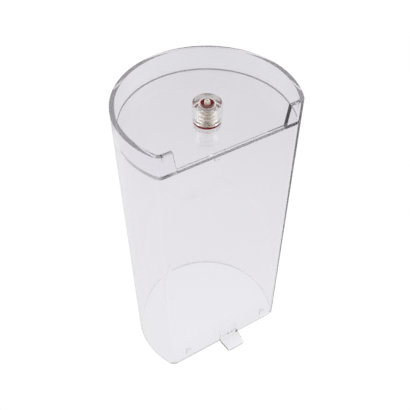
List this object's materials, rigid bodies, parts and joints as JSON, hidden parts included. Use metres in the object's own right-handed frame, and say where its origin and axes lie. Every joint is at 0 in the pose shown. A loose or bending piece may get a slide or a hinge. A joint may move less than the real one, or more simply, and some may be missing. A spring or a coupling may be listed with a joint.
{
  "type": "removable water tank",
  "caption": "Clear D-section removable water tank, open at one end, with a recessed floor carrying a spring-loaded push-in outlet valve and a lug on its flat wall.",
  "frame": {"origin": "under the middle of the whole tank, lug included, on the plane of its open mouth; the tank is stored upside down, standing on its mouth", "axes": "+Z from the mouth towards the recessed floor and the outlet valve; +Y from the flat wall towards the round wall; +X along the flat wall"},
  "size_m": [0.1016, 0.0888, 0.1994],
  "materials": {
    "clear_plastic": "clear, polished, faintly lavender where it is thick",
    "red_silicone": "glossy dark red silicone",
    "ivory_plastic": "satin natural plastic",
    "spring_steel": "bright drawn stainless wire"
  },
  "bodies": {
    "tank": {"tank_shell": "clear_plastic", "valve_body": "clear_plastic", "valve_gasket": "red_silicone", "valve_spring": "spring_steel", "spring_seat": "clear_plastic", "valve_retainer": "clear_plastic"},
    "poppet": {"valve_poppet": "ivory_plastic", "poppet_seal": "red_silicone"}
  },
  "joints": [
    {"name": "poppet_slide", "type": "slide", "parent": "tank", "child": "poppet", "axis": [0, 0, -1], "range_m": [0, 0.0028], "stiffness_N_per_m": 450, "springref_m": -0.004, "deforming": ["valve_spring"]}
  ]
}
